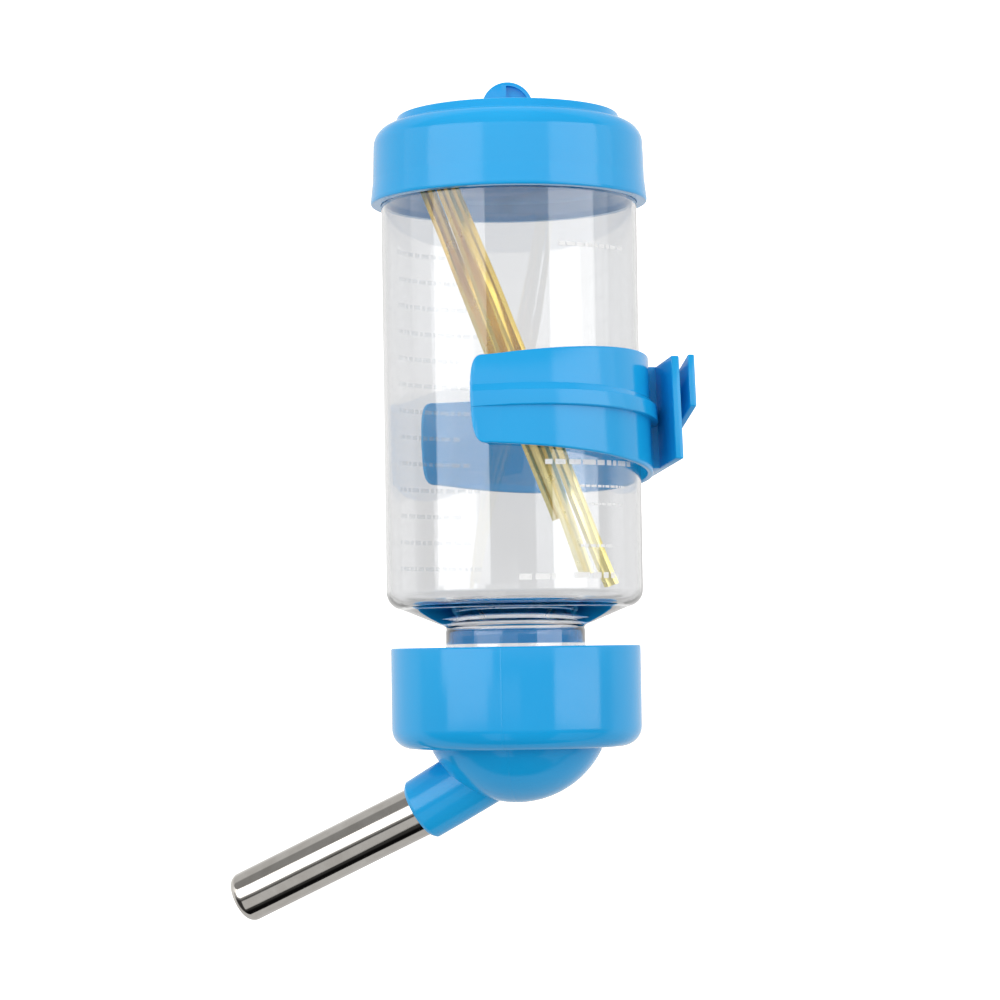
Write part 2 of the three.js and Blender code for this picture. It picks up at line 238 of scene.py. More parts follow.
# ------------------------------------------------------------ materials
class Nodes:
    """Shorthand for building a material's node tree."""

    def __init__(self, name, world=False):
        self.material = (bpy.data.worlds if world else bpy.data.materials).new(name)
        self.material.use_nodes = True
        self.tree = self.material.node_tree
        self.shader = self.tree.nodes["Background" if world else "Principled BSDF"]
        self.output = self.tree.nodes["World Output" if world else "Material Output"]
        coord = self.tree.nodes.new("ShaderNodeTexCoord")
        self.place = coord.outputs["Generated" if world else "Object"]

    def add(self, kind, inputs=None, **settings):
        node = self.tree.nodes.new(kind)
        for key, value in settings.items():
            setattr(node, key, value)
        for key, value in (inputs or {}).items():
            self.set(node.inputs[key], value)
        return node

    def set(self, socket, value):
        if isinstance(value, bpy.types.NodeSocket):
            self.tree.links.new(value, socket)
        else:
            socket.default_value = value

    def noise(self, scale, detail=4.0, roughness=0.55, vector=None, distortion=0.0):
        node = self.add(
            "ShaderNodeTexNoise",
            {
                "Vector": vector or self.place,
                "Scale": scale,
                "Detail": detail,
                "Roughness": roughness,
                "Distortion": distortion,
            },
        )
        return node.outputs["Fac"]

    def remap(self, value, low, high, from_low=0.3, from_high=0.7):
        inputs = {"Value": value, "To Min": low, "To Max": high}
        inputs.update({"From Min": from_low, "From Max": from_high})
        node = self.add("ShaderNodeMapRange", inputs)
        return node.outputs["Result"]

    def mix(self, factor, a, b):
        node = self.add("ShaderNodeMix", data_type="RGBA")
        self.set(node.inputs[0], factor)
        self.set(node.inputs[6], a)
        self.set(node.inputs[7], b)
        return node.outputs[2]

    def math(self, operation, a, b=0.0):
        node = self.add("ShaderNodeMath", operation=operation)
        self.set(node.inputs[0], a)
        self.set(node.inputs[1], b)
        return node.outputs[0]

    def ramp(self, value, start, end):
        """0 up to start and 1 from end, smooth between them. start may be the larger."""
        node = self.add("ShaderNodeMapRange", interpolation_type="SMOOTHSTEP")
        self.set(node.inputs["Value"], value)
        self.set(node.inputs["From Min"], min(start, end))
        self.set(node.inputs["From Max"], max(start, end))
        self.set(node.inputs["To Min"], 0.0 if start < end else 1.0)
        self.set(node.inputs["To Max"], 1.0 if start < end else 0.0)
        return node.outputs["Result"]

    def bump(self, height, strength, distance, normal=None):
        inputs = {"Height": height, "Strength": strength, "Distance": distance}
        if normal:
            inputs["Normal"] = normal
        return self.add("ShaderNodeBump", inputs).outputs["Normal"]

    def edges(self, width):
        """1 on edges, which a hand rubs and where a sheen is painted, 0 on flat faces.
        It is how far a bevelled normal leans from the true one."""
        bevel = self.add("ShaderNodeBevel", {"Radius": width}, samples=4)
        geometry = self.add("ShaderNodeNewGeometry")
        dot = self.add("ShaderNodeVectorMath", operation="DOT_PRODUCT")
        self.set(dot.inputs[0], bevel.outputs["Normal"])
        self.set(dot.inputs[1], geometry.outputs["Normal"])
        return self.remap(dot.outputs["Value"], 1.0, 0.0, 0.80, 0.995)

    def shade(self, **inputs):
        for key, value in inputs.items():
            self.set(self.shader.inputs[key.replace("_", " ")], value)
        return self.material


def rgb(hex_value):
    """Linear colour of an sRGB hex value."""
    parts = [(hex_value >> shift & 255) / 255 for shift in (16, 8, 0)]
    return (*[p / 12.92 if p <= 0.04045 else ((p + 0.055) / 1.055) ** 2.4 for p in parts], 1.0)


def blue_plastic(name, seam=None):
    """Glossy moulded plastic: slow colour drift from flow, fine orange peel, scuffs, and rubbed
    edges that are rougher and carry a painted paler sheen.
    seam is an upright plane (nx, ny) through the bottle's axis where the mould halves met."""
    n = Nodes(name)
    flow = n.noise(28, 3, 0.5, distortion=0.6)
    colour = n.mix(n.remap(flow, 0, 1), (0.007, 0.355, 0.76, 1), (0.012, 0.385, 0.80, 1))
    # Edge mask: it roughens rubbed edges and lifts their colour toward a paler blue, a painted edge
    # sheen.
    rubbed_edge_and_sheen = n.math("MULTIPLY", n.edges(0.0004), n.remap(n.noise(260, 3), 0.15, 1.0))
    colour = n.mix(n.math("MULTIPLY", rubbed_edge_and_sheen, 0.22), colour, (0.10, 0.52, 0.92, 1))
    scuffs = n.remap(n.noise(900, 2, 0.7, distortion=1.5), 0, 1, 0.66, 0.8)
    rough = n.remap(n.noise(140, 5, 0.6), 0.10, 0.17)
    rough = n.math("ADD", rough, n.math("MULTIPLY", scuffs, 0.10))
    rough = n.math("ADD", rough, n.math("MULTIPLY", rubbed_edge_and_sheen, 0.08))
    normal = n.bump(n.noise(650, 2), 0.03, 0.0002)
    normal = n.bump(n.noise(45, 2), 0.06, 0.0006, normal)
    if seam:
        side = n.add("ShaderNodeVectorMath", operation="DOT_PRODUCT")
        n.set(side.inputs[0], n.place)
        side.inputs[1].default_value = (seam[0], seam[1], 0)
        off = n.math("ABSOLUTE", n.math("SUBTRACT", side.outputs["Value"], AXIS_X * seam[0]))
        normal = n.bump(n.ramp(off, 0.0003, 0.0001), 0.35, 0.0001, normal)
    n.shade(Base_Color=colour, Roughness=rough, Normal=normal, IOR=1.47)
    return n.material


def clear_plastic():
    """Clear blow-moulded plastic: slightly wavy walls and faint vertical flow lines.
    Shadow rays and diffuse rays pass straight through it, so it casts no dark shadow."""
    n = Nodes("clear_plastic")
    upright = {"Vector": n.place, "Scale": (1.0, 1.0, 0.07)}
    stretched = n.add("ShaderNodeMapping", upright).outputs[0]
    waves = n.bump(n.noise(70, 2, vector=stretched), 0.05, 0.0012)
    waves = n.bump(n.noise(24, 1), 0.05, 0.002, waves)
    haze = n.remap(n.noise(90, 4, 0.6, vector=stretched), 0.01, 0.07, 0.45, 0.8)
    tint = n.remap(n.noise(16, 2), 0, 1)
    n.shade(
        Base_Color=n.mix(tint, (0.86, 0.87, 0.885, 1), (0.885, 0.89, 0.90, 1)),
        Roughness=haze,
        Normal=waves,
        IOR=1.58,
        Transmission_Weight=1.0,
        Coat_Weight=0.35,
        Coat_Roughness=0.03,
        Coat_Normal=waves,
    )
    clear = n.add("ShaderNodeBsdfTransparent", {"Color": (0.96, 0.97, 0.98, 1)})
    path = n.add("ShaderNodeLightPath")
    blend = n.add("ShaderNodeMixShader")
    through = n.math("MAXIMUM", path.outputs["Is Shadow Ray"], path.outputs["Is Diffuse Ray"])
    n.set(blend.inputs[0], through)
    n.set(blend.inputs[1], n.shader.outputs[0])
    n.set(blend.inputs[2], clear.outputs[0])
    n.set(n.output.inputs["Surface"], blend.outputs[0])
    return n.material


def polished_steel(name, axis=None):
    """Polished stainless steel with faint smudges, and drawing lines along an axis."""
    n = Nodes(name)
    vector = n.place
    if axis is not None:
        # Texture space that runs along the tube. Its third axis is squeezed, so the noise draws
        # out into lines.
        turn = axis.to_track_quat("Z", "Y").inverted().to_euler()
        spun = n.add("ShaderNodeMapping", {"Vector": n.place, "Rotation": tuple(turn)}).outputs[0]
        vector = n.add("ShaderNodeMapping", {"Vector": spun, "Scale": (1, 1, 0.02)}).outputs[0]
    lines = n.noise(2400, 2, 0.6, vector=vector)
    smudge = n.noise(160, 4, 0.6)
    n.shade(
        Base_Color=n.mix(n.remap(smudge, 0, 1), rgb(0xC9C5BF), rgb(0xD8D5D0)),
        Metallic=1.0,
        Roughness=n.math("ADD", n.remap(smudge, 0.04, 0.08), n.remap(lines, 0.0, 0.03)),
        Normal=n.bump(lines, 0.06, 0.00005),
    )
    return n.material


def soft_silicone():
    n = Nodes("silicone")
    cloud = n.noise(120, 3)
    n.shade(
        Base_Color=n.mix(n.remap(cloud, 0, 1), rgb(0xDDE3E4), rgb(0xEEF1F0)),
        Roughness=n.remap(n.noise(700, 3), 0.45, 0.65),
        Normal=n.bump(n.noise(1600, 2), 0.12, 0.0001),
        Subsurface_Weight=0.3,
        Subsurface_Scale=0.002,
    )
    return n.material


def white_plastic():
    n = Nodes("white_plastic")
    n.shade(
        Base_Color=n.mix(n.remap(n.noise(150, 3), 0, 1), rgb(0xE6E6E0), rgb(0xF4F3EE)),
        Roughness=n.remap(n.noise(600, 3), 0.35, 0.55),
        Normal=n.bump(n.noise(1200, 2), 0.08, 0.0001),
    )
    return n.material


def gold_foil():
    """Metallised film with fine creases: gold, olive in places, and a painted pale reflection
    toward its lower end.
    """
    n = Nodes("gold_foil")
    drift = n.add("ShaderNodeMapping", {"Vector": n.place, "Scale": (1.0, 1.0, 0.3)}).outputs[0]
    patch = n.noise(70, 2, 0.5, vector=drift)
    colour = n.mix(n.remap(patch, 0, 1), rgb(0xC09A30), rgb(0xF7DC74))
    height = n.add("ShaderNodeSeparateXYZ", {"Vector": n.place}).outputs["Z"]
    # Painted reflection: the colour turns pale cream toward the strip's lower end, as if it caught
    # a soft box.
    painted_pale_reflection = n.mix(n.remap(patch, 0, 1), rgb(0xF3E28A), rgb(0xFFF8CC))
    colour = n.mix(n.ramp(height, 0.006, -0.022), colour, painted_pale_reflection)
    fine = n.noise(420, 2, 0.5, vector=drift)
    n.shade(
        Base_Color=colour,
        Metallic=1.0,
        Roughness=n.remap(n.noise(240, 3), 0.16, 0.30),
        Normal=n.bump(fine, 0.15, 0.0002, n.bump(n.noise(110, 1, vector=drift), 0.2, 0.0008)),
    )
    return n.material


def print_ink(name, colour, cover):
    """Screen-printed ink, a little uneven where the mesh left it thin."""
    n = Nodes(name)
    thin = n.noise(1500, 3, 0.7)
    n.shade(
        Base_Color=colour,
        Roughness=n.remap(thin, 0.4, 0.6),
        Normal=n.bump(thin, 0.1, 0.00005),
        Alpha=n.remap(thin, cover * 0.8, cover, 0.3, 0.5),
    )
    return n.material


SEAM_TURN = math.radians(-110)
BLUE = blue_plastic("blue_plastic")
BLUE_SEAMED = blue_plastic("blue_plastic_seamed", (-math.sin(SEAM_TURN), math.cos(SEAM_TURN)))
CLEAR = clear_plastic()
STEEL = polished_steel("polished_steel", SPOUT)
BALL_STEEL = polished_steel("ball_steel")
SILICONE = soft_silicone()
WHITE = white_plastic()
GOLD = gold_foil()
WHITE_INK = print_ink("white_ink", rgb(0xFBFBFB), 0.7)
FAINT_INK = print_ink("faint_ink", rgb(0xF4F5F6), 0.16)


def piece(obj, body, slot, *nodes):
    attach(obj, body)
    if nodes:
        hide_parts(*nodes)
    return obj


# ------------------------------------------------------------ bottle
LEAD = 8.0  # mm a screw cap moves in one turn
THREAD_STARTS = 2
WALL = 1.0
NECK_R = 18.1
MOUTH_R = 30.4
SHOULDER_Z = 146.0
MOUTH_THREAD = {"z_start": 150.0, "turns": 0.6}
NECK_THREAD = {"z_start": 6.8, "turns": 0.7}
NECK_THREAD_TOP = 16


def screw(z_start, turns, depth, half_width=1.2):
    return thread(z_start, LEAD, THREAD_STARTS, turns, depth, half_width)


def threaded(profile, radius):
    """The same profile with a point every 0.3 mm where it runs straight at the thread's radius."""
    out = []
    for (r, z), (r2, z2) in zip(profile, profile[1:] + [(0, 0)]):
        out.append((r, z))
        if abs(r - radius) < 0.01 and abs(r2 - r) < 0.01:
            parts = max(1, round(abs(z2 - z) / 0.3))
            out += [(r, z + (z2 - z) * k / parts) for k in range(1, parts)]
    return out


def build_bottle():
    outside = rounded(
        [
            (NECK_R - 0.5, NECK_END, 0),
            (NECK_R, NECK_END, 0.45),
            (NECK_R, 30.2, 0.7),
            (NECK_R - 0.6, 31.0, 0.8),
            (28.5, 35.55, 9),
            (BOTTLE_R, 37.15, 4.5),
            (BOTTLE_R, SHOULDER_Z - 2.5, 3),
            (MOUTH_R, SHOULDER_Z + 2.5, 3),
            (MOUTH_R, BOTTLE_TOP, 0.4),
            (MOUTH_R - 0.5, BOTTLE_TOP, 0),
        ],
        steps=8,
    )
    inner = BOTTLE_R - WALL
    inside = rounded(
        [
            (MOUTH_R - WALL - 0.5, BOTTLE_TOP, 0),
            (MOUTH_R - WALL - 0.2, SHOULDER_Z + 2.2, 3),
            (inner, SHOULDER_Z - 2.8, 3),
            (inner, 38.25, 3.5),
            (28.6, 36.9, 8),
            (NECK_R - 1.0, 34.0, 2.5),
            (NECK_R - 1.9, 27.0, 5),
            (NECK_R - 1.9, NECK_END, 0),
        ],
        steps=8,
    )
    mouth = screw(**MOUTH_THREAD, depth=1.25)
    neck = screw(**NECK_THREAD, depth=1.2)

    def relief(r, z, angle):
        if abs(r - MOUTH_R) < 0.01:
            return r + mouth(angle, z)
        if abs(r - NECK_R) < 0.01:
            return r + neck(angle, z)
        return r

    profile = filled(outside + inside, 1.2)
    fine = []
    for (r, z), (r2, z2) in zip(profile, profile[1:] + profile[:1]):
        fine.append((r, z))
        on_neck = abs(r - NECK_R) < 0.01 and z < NECK_THREAD_TOP
        if abs(r - r2) < 0.01 and (abs(r - MOUTH_R) < 0.01 or on_neck):
            fine += [(r, z + (z2 - z) * k / 5) for k in range(1, 5)]
    bm = turned(fine, 192, closed=True, relief=relief)
    return finished("bottle", place(bm, ON_AXIS), CLEAR, sharp=60)


# ------------------------------------------------------------ lid
BORE_R = BOTTLE_R + 0.15
LID_THREAD_R = 32.5
EYE_R = 6.7
EYE_Z = EYE_TOP - EYE_R - 0.7
EYE_YAW = -0.2
EYE_THICKNESS = 5.0
HOLE_R = 0.9


def slab(outline, low, high, bevel):
    """A flat outline of (x, y) given thickness along z, with rounded edges."""
    bm = bmesh.new()
    face = bm.faces.new([bm.verts.new((x, y, low)) for x, y in outline])
    made = bmesh.ops.extrude_face_region(bm, geom=[face])["geom"]
    top = [v for v in made if isinstance(v, bmesh.types.BMVert)]
    bmesh.ops.translate(bm, verts=top, vec=(0, 0, high - low))
    bmesh.ops.recalc_face_normals(bm, faces=bm.faces)
    if bevel:
        rim = {"offset": bevel, "segments": 3, "profile": 0.5, "affect": "EDGES"}
        bmesh.ops.bevel(bm, geom=bm.edges[:], **rim)
    return bm


def rectangle(x0, x1, y0, y1):
    return [(x0, y0), (x1, y0), (x1, y1), (x0, y1)]


def box_mesh(x0, x1, y0, y1, z0, z1, bevel):
    return slab(rectangle(x0, x1, y0, y1), z0, z1, bevel)


def build_lid():
    shoulder = 5.4
    side_r = LID_R - 0.35
    ledge_z = DISC - 2.5
    ledge_r = 29.6
    seat_z = BOTTLE_TOP + 1.7  # where the seal lies
    recess_r = 26.0
    outside = rounded(
        [
            (0, DISC, 0),
            (ledge_r - 0.8, DISC, 0.6),
            (ledge_r, ledge_z + 0.1, 0.9),
            (side_r - 0.35, ledge_z - 0.2, shoulder),
            (side_r + 0.1, LID_RIM + 6, 12),
            (LID_R + 0.35, LID_RIM + 0.8, 0.4),
            (LID_R + 0.25, LID_RIM, 0.4),
            (BORE_R + 1.4, LID_RIM, 0),
        ],
        steps=9,
    )
    inside = rounded(
        [
            (BORE_R, LID_RIM, 0.4),
            (BORE_R, SHOULDER_Z + 0.3, 0.2),
            (LID_THREAD_R, SHOULDER_Z + 1.0, 0.3),
            (LID_THREAD_R, BOTTLE_TOP + 0.2, 0.3),
            (LID_THREAD_R - 1.5, seat_z, 0.3),
            (recess_r, seat_z, 0.3),
            (recess_r, seat_z + 1.2, 0.5),
            (0, seat_z + 1.2, 0),
        ],
        steps=5,
    )
    bead = screw(MOUTH_THREAD["z_start"] + LEAD / 4, MOUTH_THREAD["turns"], depth=1.2)

    def relief(r, z, angle):
        return r - bead(angle, z) if abs(r - LID_THREAD_R) < 0.01 and z < BOTTLE_TOP + 1 else r

    profile = threaded(outside + inside, LID_THREAD_R)
    body = finished("lid_moulding", turned(profile, 192, relief=relief), BLUE)

    outline = [(-EYE_R, DISC - 1.5), (EYE_R, DISC - 1.5)]
    outline += arc(EYE_R, 0, math.pi, 40, (0, EYE_Z))
    tab = slab(outline, -EYE_THICKNESS / 2, EYE_THICKNESS / 2, 0.45)
    upright = Matrix.Rotation(EYE_YAW, 4, "Z") @ Matrix.Rotation(math.pi / 2, 4, "X")
    boolean(body, finished("tab", place(tab, upright), BLUE), "UNION")
    # A pocket in the right half of each face, following the round outline, and a small hole
    # through the tab where the pockets meet.
    face = EYE_THICKNESS / 2
    bottom = DISC + 1.2
    pocket_r = EYE_R - 1.0
    foot = math.asin((bottom - EYE_Z) / pocket_r)
    round_side = arc(pocket_r, foot, math.pi / 2, 16, (0, EYE_Z))
    pocket = [(-0.3, bottom), *round_side, (-0.3, EYE_Z + pocket_r)]
    drill = turned([(0, -6), (HOLE_R, -6), (HOLE_R, 6), (0, 6)], 32)
    hole = place(drill, Matrix.Translation((0.2, bottom + 0.7, 0)))
    for turn in (0, math.pi):
        cutter = place(slab(pocket, face - 1.3, face + 2, 0), Matrix.Rotation(turn, 4, "Y"))
        boolean(body, finished("pocket", place(cutter, upright), BLUE), "DIFFERENCE")
    boolean(body, finished("hole", place(hole, upright), BLUE), "DIFFERENCE")
    body.data.transform(ON_AXIS)
    return body


# ------------------------------------------------------------ screw cap, dome and spout socket
COLLAR_BORE = 20.1
COLLAR_TOP = 16.0
THROAT = 16.5
FLOOR = 2.2
DOME_R = 24.6
DOME_Z = 10.3
SOCKET_DIP = math.radians(29.9)
SOCKET_R = 8.3
SOCKET_LENGTH = 30.5
SOCKET_START = -1.2
AZIMUTH = math.atan2(SPOUT.y, SPOUT.x)
LEVEL = Vector((math.cos(AZIMUTH), math.sin(AZIMUTH), 0))
SOCKET = LEVEL * math.cos(SOCKET_DIP) - Vector((0, 0, math.sin(SOCKET_DIP)))
MOUTH = SOCKET * SOCKET_LENGTH + Vector((0, 0, SOCKET_START))
BORE = 7.15
BORE_DEPTH = 9.5


def along(direction):
    """Turns a shape made along +Z, in mm, to run along a direction from the socket's mouth."""
    return Matrix.Translation(MOUTH) @ direction.to_track_quat("Z", "Y").to_matrix().to_4x4()


def build_cap():
    corner = 5.2
    wall = 1.8
    rim = CUP_HEIGHT
    inner = CUP_R - wall
    chord = math.asin(DOME_Z / DOME_R)
    dome = arc(DOME_R, -math.pi / 2, -chord, 26, (0, DOME_Z))
    outside = dome[:-1] + rounded(
        [
            (dome[-1][0] - 0.3, 0.25, 0),
            (dome[-1][0] + 0.2, 0, 0.3),
            (CUP_R, 0, corner),
            (CUP_R, rim, 0.55),
            (inner, rim, 0.45),
            (inner, FLOOR, 3.2),
            (COLLAR_BORE + wall, FLOOR, 0.5),
            (COLLAR_BORE + wall, COLLAR_TOP, 0.4),
            (COLLAR_BORE, COLLAR_TOP, 0.4),
            (COLLAR_BORE, FLOOR, 0.3),
            (0, FLOOR, 0),
        ],
        steps=8,
    )
    bead = screw(NECK_THREAD["z_start"] + LEAD / 4, NECK_THREAD["turns"], depth=1.1)

    def relief(r, z, angle):
        on_bore = abs(r - COLLAR_BORE) < 0.01 and FLOOR + 0.5 < z < COLLAR_TOP - 0.5
        return r - bead(angle, z) if on_bore else r

    profile = threaded(outside, COLLAR_BORE)
    body = finished("cap_moulding", turned(profile, 192, relief=relief), BLUE_SEAMED)

    # The socket flares where it grows out of the dome.
    rod = rounded(
        [
            (0, 4 - SOCKET_LENGTH, 0),
            (SOCKET_R + 0.3, 4 - SOCKET_LENGTH, 0.5),
            (SOCKET_R + 0.15, -8, 6),
            (SOCKET_R, -0.9, 0.3),
            (SOCKET_R - 0.8, 0, 0.3),
            (0, 0, 0),
        ]
    )
    socket = finished("socket", place(turned(filled(rod, 2.5), 128), along(SOCKET)), BLUE)
    boolean(body, socket, "UNION")
    cavity = DOME_R - 2.0
    top_angle = math.acos(THROAT / cavity)
    hollow = arc(cavity, -math.pi / 2, -top_angle, 14, (0, DOME_Z))
    hollow += [(THROAT, COLLAR_TOP + 2), (0, COLLAR_TOP + 2)]
    hollow_turn = Matrix.Rotation(0.011, 4, "Z")  # keeps its edges off the floor's
    boolean(body, finished("hollow", place(turned(hollow, 128), hollow_turn), BLUE), "DIFFERENCE")
    bore = rounded([(0, -BORE_DEPTH, 0), (BORE, -BORE_DEPTH, 0.3), (BORE, 2, 0), (0, 2, 0)])
    passage = [(0, -BORE_DEPTH - 12), (5, -BORE_DEPTH - 12), (5, 0), (0, 0)]
    for shape in (bore, passage):
        boolean(body, finished("bore", place(turned(shape, 96), along(SPOUT)), BLUE), "DIFFERENCE")
    body.data.transform(ON_AXIS)
    return body


# ------------------------------------------------------------ drinking tube, bush, stop and balls
TUBE_R = 6.7
TUBE_WALL = 0.5
TUBE_REACH = 55.2
TUBE_INSERT = 9.0
LIP = 2.6


def on_spout(name, profile, material, segments=96):
    bm = turned(profile, segments, closed=True)
    return finished(name, place(bm, ON_AXIS @ along(SPOUT)), material)


def build_tube():
    inner = TUBE_R - TUBE_WALL
    profile = [(inner, -TUBE_INSERT), (TUBE_R - 0.1, -TUBE_INSERT), (TUBE_R, -TUBE_INSERT + 0.1)]
    centre = (TUBE_R - LIP, TUBE_REACH - LIP)
    profile += arc(LIP, 0, math.pi / 2, 12, centre)
    profile += arc(LIP - TUBE_WALL, math.pi / 2, 0, 12, centre)
    return on_spout("tube_steel", filled(profile, 4), STEEL, 128)


def build_bush():
    inner, outer = TUBE_R + 0.06, BORE - 0.06
    low, high = -TUBE_INSERT, -0.4
    corners = [(inner, low, 0.1), (outer, low, 0.1), (outer, high, 0.12), (inner, high, 0.12)]
    return on_spout("bush_soft", rounded(corners, closed=True, steps=3), SILICONE)


def build_stop():
    outer = TUBE_R - TUBE_WALL - 0.08
    low = -TUBE_INSERT + 0.6
    high = low + 6
    corners = [(outer - 1, low, 0.2), (outer, low, 0.2), (outer, high, 0.2), (outer - 1, high, 0.2)]
    ring = turned(rounded(corners, closed=True), 64, closed=True)
    body = finished("ball_stop_moulding", ring, WHITE)
    for turn in (0, math.pi / 2):
        arm = box_mesh(0.6 - outer, outer - 0.6, -0.6, 0.6, low + 0.05, high - 2, 0.15)
        place(arm, Matrix.Rotation(turn, 4, "Z"))
        boolean(body, finished("arm", arm, WHITE), "UNION")
    body.data.transform(ON_AXIS @ along(SPOUT))
    return body


def build_ball(node, name):
    low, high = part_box(node)
    centre = (low + high) / 2
    radius = (high.x - low.x) / 2 / MM
    bm = bmesh.new()
    bmesh.ops.create_icosphere(bm, subdivisions=5, radius=radius)
    place(bm, Matrix.Translation(centre) @ SCALE)
    return finished(name, bm, BALL_STEEL, sharp=180)


def build_seal(node, name):
    """A soft flat ring with chamfered edges."""
    low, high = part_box(node)
    z0, z1 = above(low.z) + 0.05, above(high.z) - 0.05
    outer = (high.x - AXIS_X) / MM
    inner = outer - (3.0 if node == "lid_seal" else 3.1)
    body = 0.12
    profile = [(inner, z0 + body), (inner + 0.3, z0)]
    profile += [(outer - 0.3, z0), (outer, z0 + body), (outer, z1 - body), (outer - 0.3, z1)]
    profile += [(inner + 0.3, z1), (inner, z1 - body)]
    return finished(name, place(turned(profile, 128, closed=True), ON_AXIS), SILICONE)


# ------------------------------------------------------------ bracket
BAND_IN = 34.6
BAND_OUT = 36.1
OPEN = math.radians(60.5)
ROOT_H = 15.6
END_H = 11.2
CLIP = Matrix.Rotation(math.radians(-6), 4, "X")
BRACKET_Z = -DATUM.z / MM


def swept(loops):
    """A closed mesh from loops of points with equal counts, with a face at each end."""
    bm = bmesh.new()
    rows = [[bm.verts.new(p) for p in loop] for loop in loops]
    count = len(rows[0])
    for a, b in zip(rows, rows[1:]):
        for i in range(count):
            j = (i + 1) % count
            bm.faces.new((a[i], a[j], b[j], b[i]))
    bm.faces.new(rows[0][::-1])
    bm.faces.new(rows[-1])
    return bm


RIB_PROUD = 2.0
END_ROUND = 3.6  # how far from a free end its corners start to round
FLARE_FROM = 7.6  # how far from a free end the band starts to flare


def band_half_height(x):
    """Half the band's height, which grows from a short way behind its tips up to the clip."""
    tip = -BAND_OUT * math.cos(OPEN)
    even = 4
    share = (x - tip - even) / (BAND_OUT + 1 - tip - even)
    return END_H + (ROOT_H - END_H) * max(0.0, share)


def build_bracket():
    span = math.pi - OPEN
    steps = 150
    loops = []
    for k in range(steps + 1):
        # More steps near the two free ends, where the corners are rounded.
        t = -math.cos(math.pi * k / steps)
        a = span * t
        to_end = (span - abs(a)) * BAND_OUT
        half = band_half_height(BAND_OUT * math.cos(a))
        if to_end < END_ROUND:
            half *= max(0.06, 1 - (1 - to_end / END_ROUND) ** 3) ** (1 / 3)
        lead_in = max(0.0, 1 - to_end / FLARE_FROM)
        inner = BAND_IN + 1.7 * lead_in
        thin = 0.25 * max(0.0, 1 - to_end / 0.8) ** 2
        outer = BAND_OUT + 1.4 * lead_in - thin
        inner += thin
        proud = max(0.02, RIB_PROUD / 2 * (1 + math.cos(a)) * min(1.0, 0.35 + to_end / 12))
        soft = min(0.35, proud * 0.45)
        edge = min(0.32 * (outer - inner), half / 8)
        rib = min(2.0, half / 3)
        section = rounded(
            [
                (inner, -half, edge),
                (outer, -half, edge),
                (outer, -rib, soft * 0.4),
                (outer + proud, -rib, soft),
                (outer + proud * 0.9, rib * 0.95, soft),
                (outer, rib * 1.8, soft * 2),
                (outer, half, edge),
                (inner, half, edge),
            ],
            closed=True,
            steps=4,
        )
        loops.append([(r * math.cos(a), r * math.sin(a), z) for r, z in section])
    body = finished("bracket_moulding", swept(loops), BLUE)

    # The cage clip: a plate on a root, and two wings on a web. The wires go between them.
    plate_x = 37.9
    wing_x = 42.9
    plate = box_mesh(plate_x, plate_x + 2.2, -20, 20, -13, 14, 0.45)
    root = box_mesh(BAND_OUT - 0.8, plate_x + 1, -5, 5, -13, 14, 0.3)
    web = box_mesh(plate_x + 1.2, wing_x + 0.5, -2.5, 2.5, -2.3, 8.9, 0.3)
    wing = [(0, -3.8), (18.5, 1), (18.5, 14.7), (0, 9.9), (-18.5, 14.7), (-18.5, 1)]
    facing = Matrix(((0, 0, 1, 0), (1, 0, 0, 0), (0, 1, 0, 0), (0, 0, 0, 1)))
    wings = place(slab(wing, wing_x, wing_x + 1.8, 0.4), facing)
    for part in (plate, root, web, wings):
        boolean(body, finished("part", part, BLUE), "UNION")
    body.data.transform(ON_AXIS @ Matrix.Translation((0, 0, BRACKET_Z)) @ CLIP)
    return body


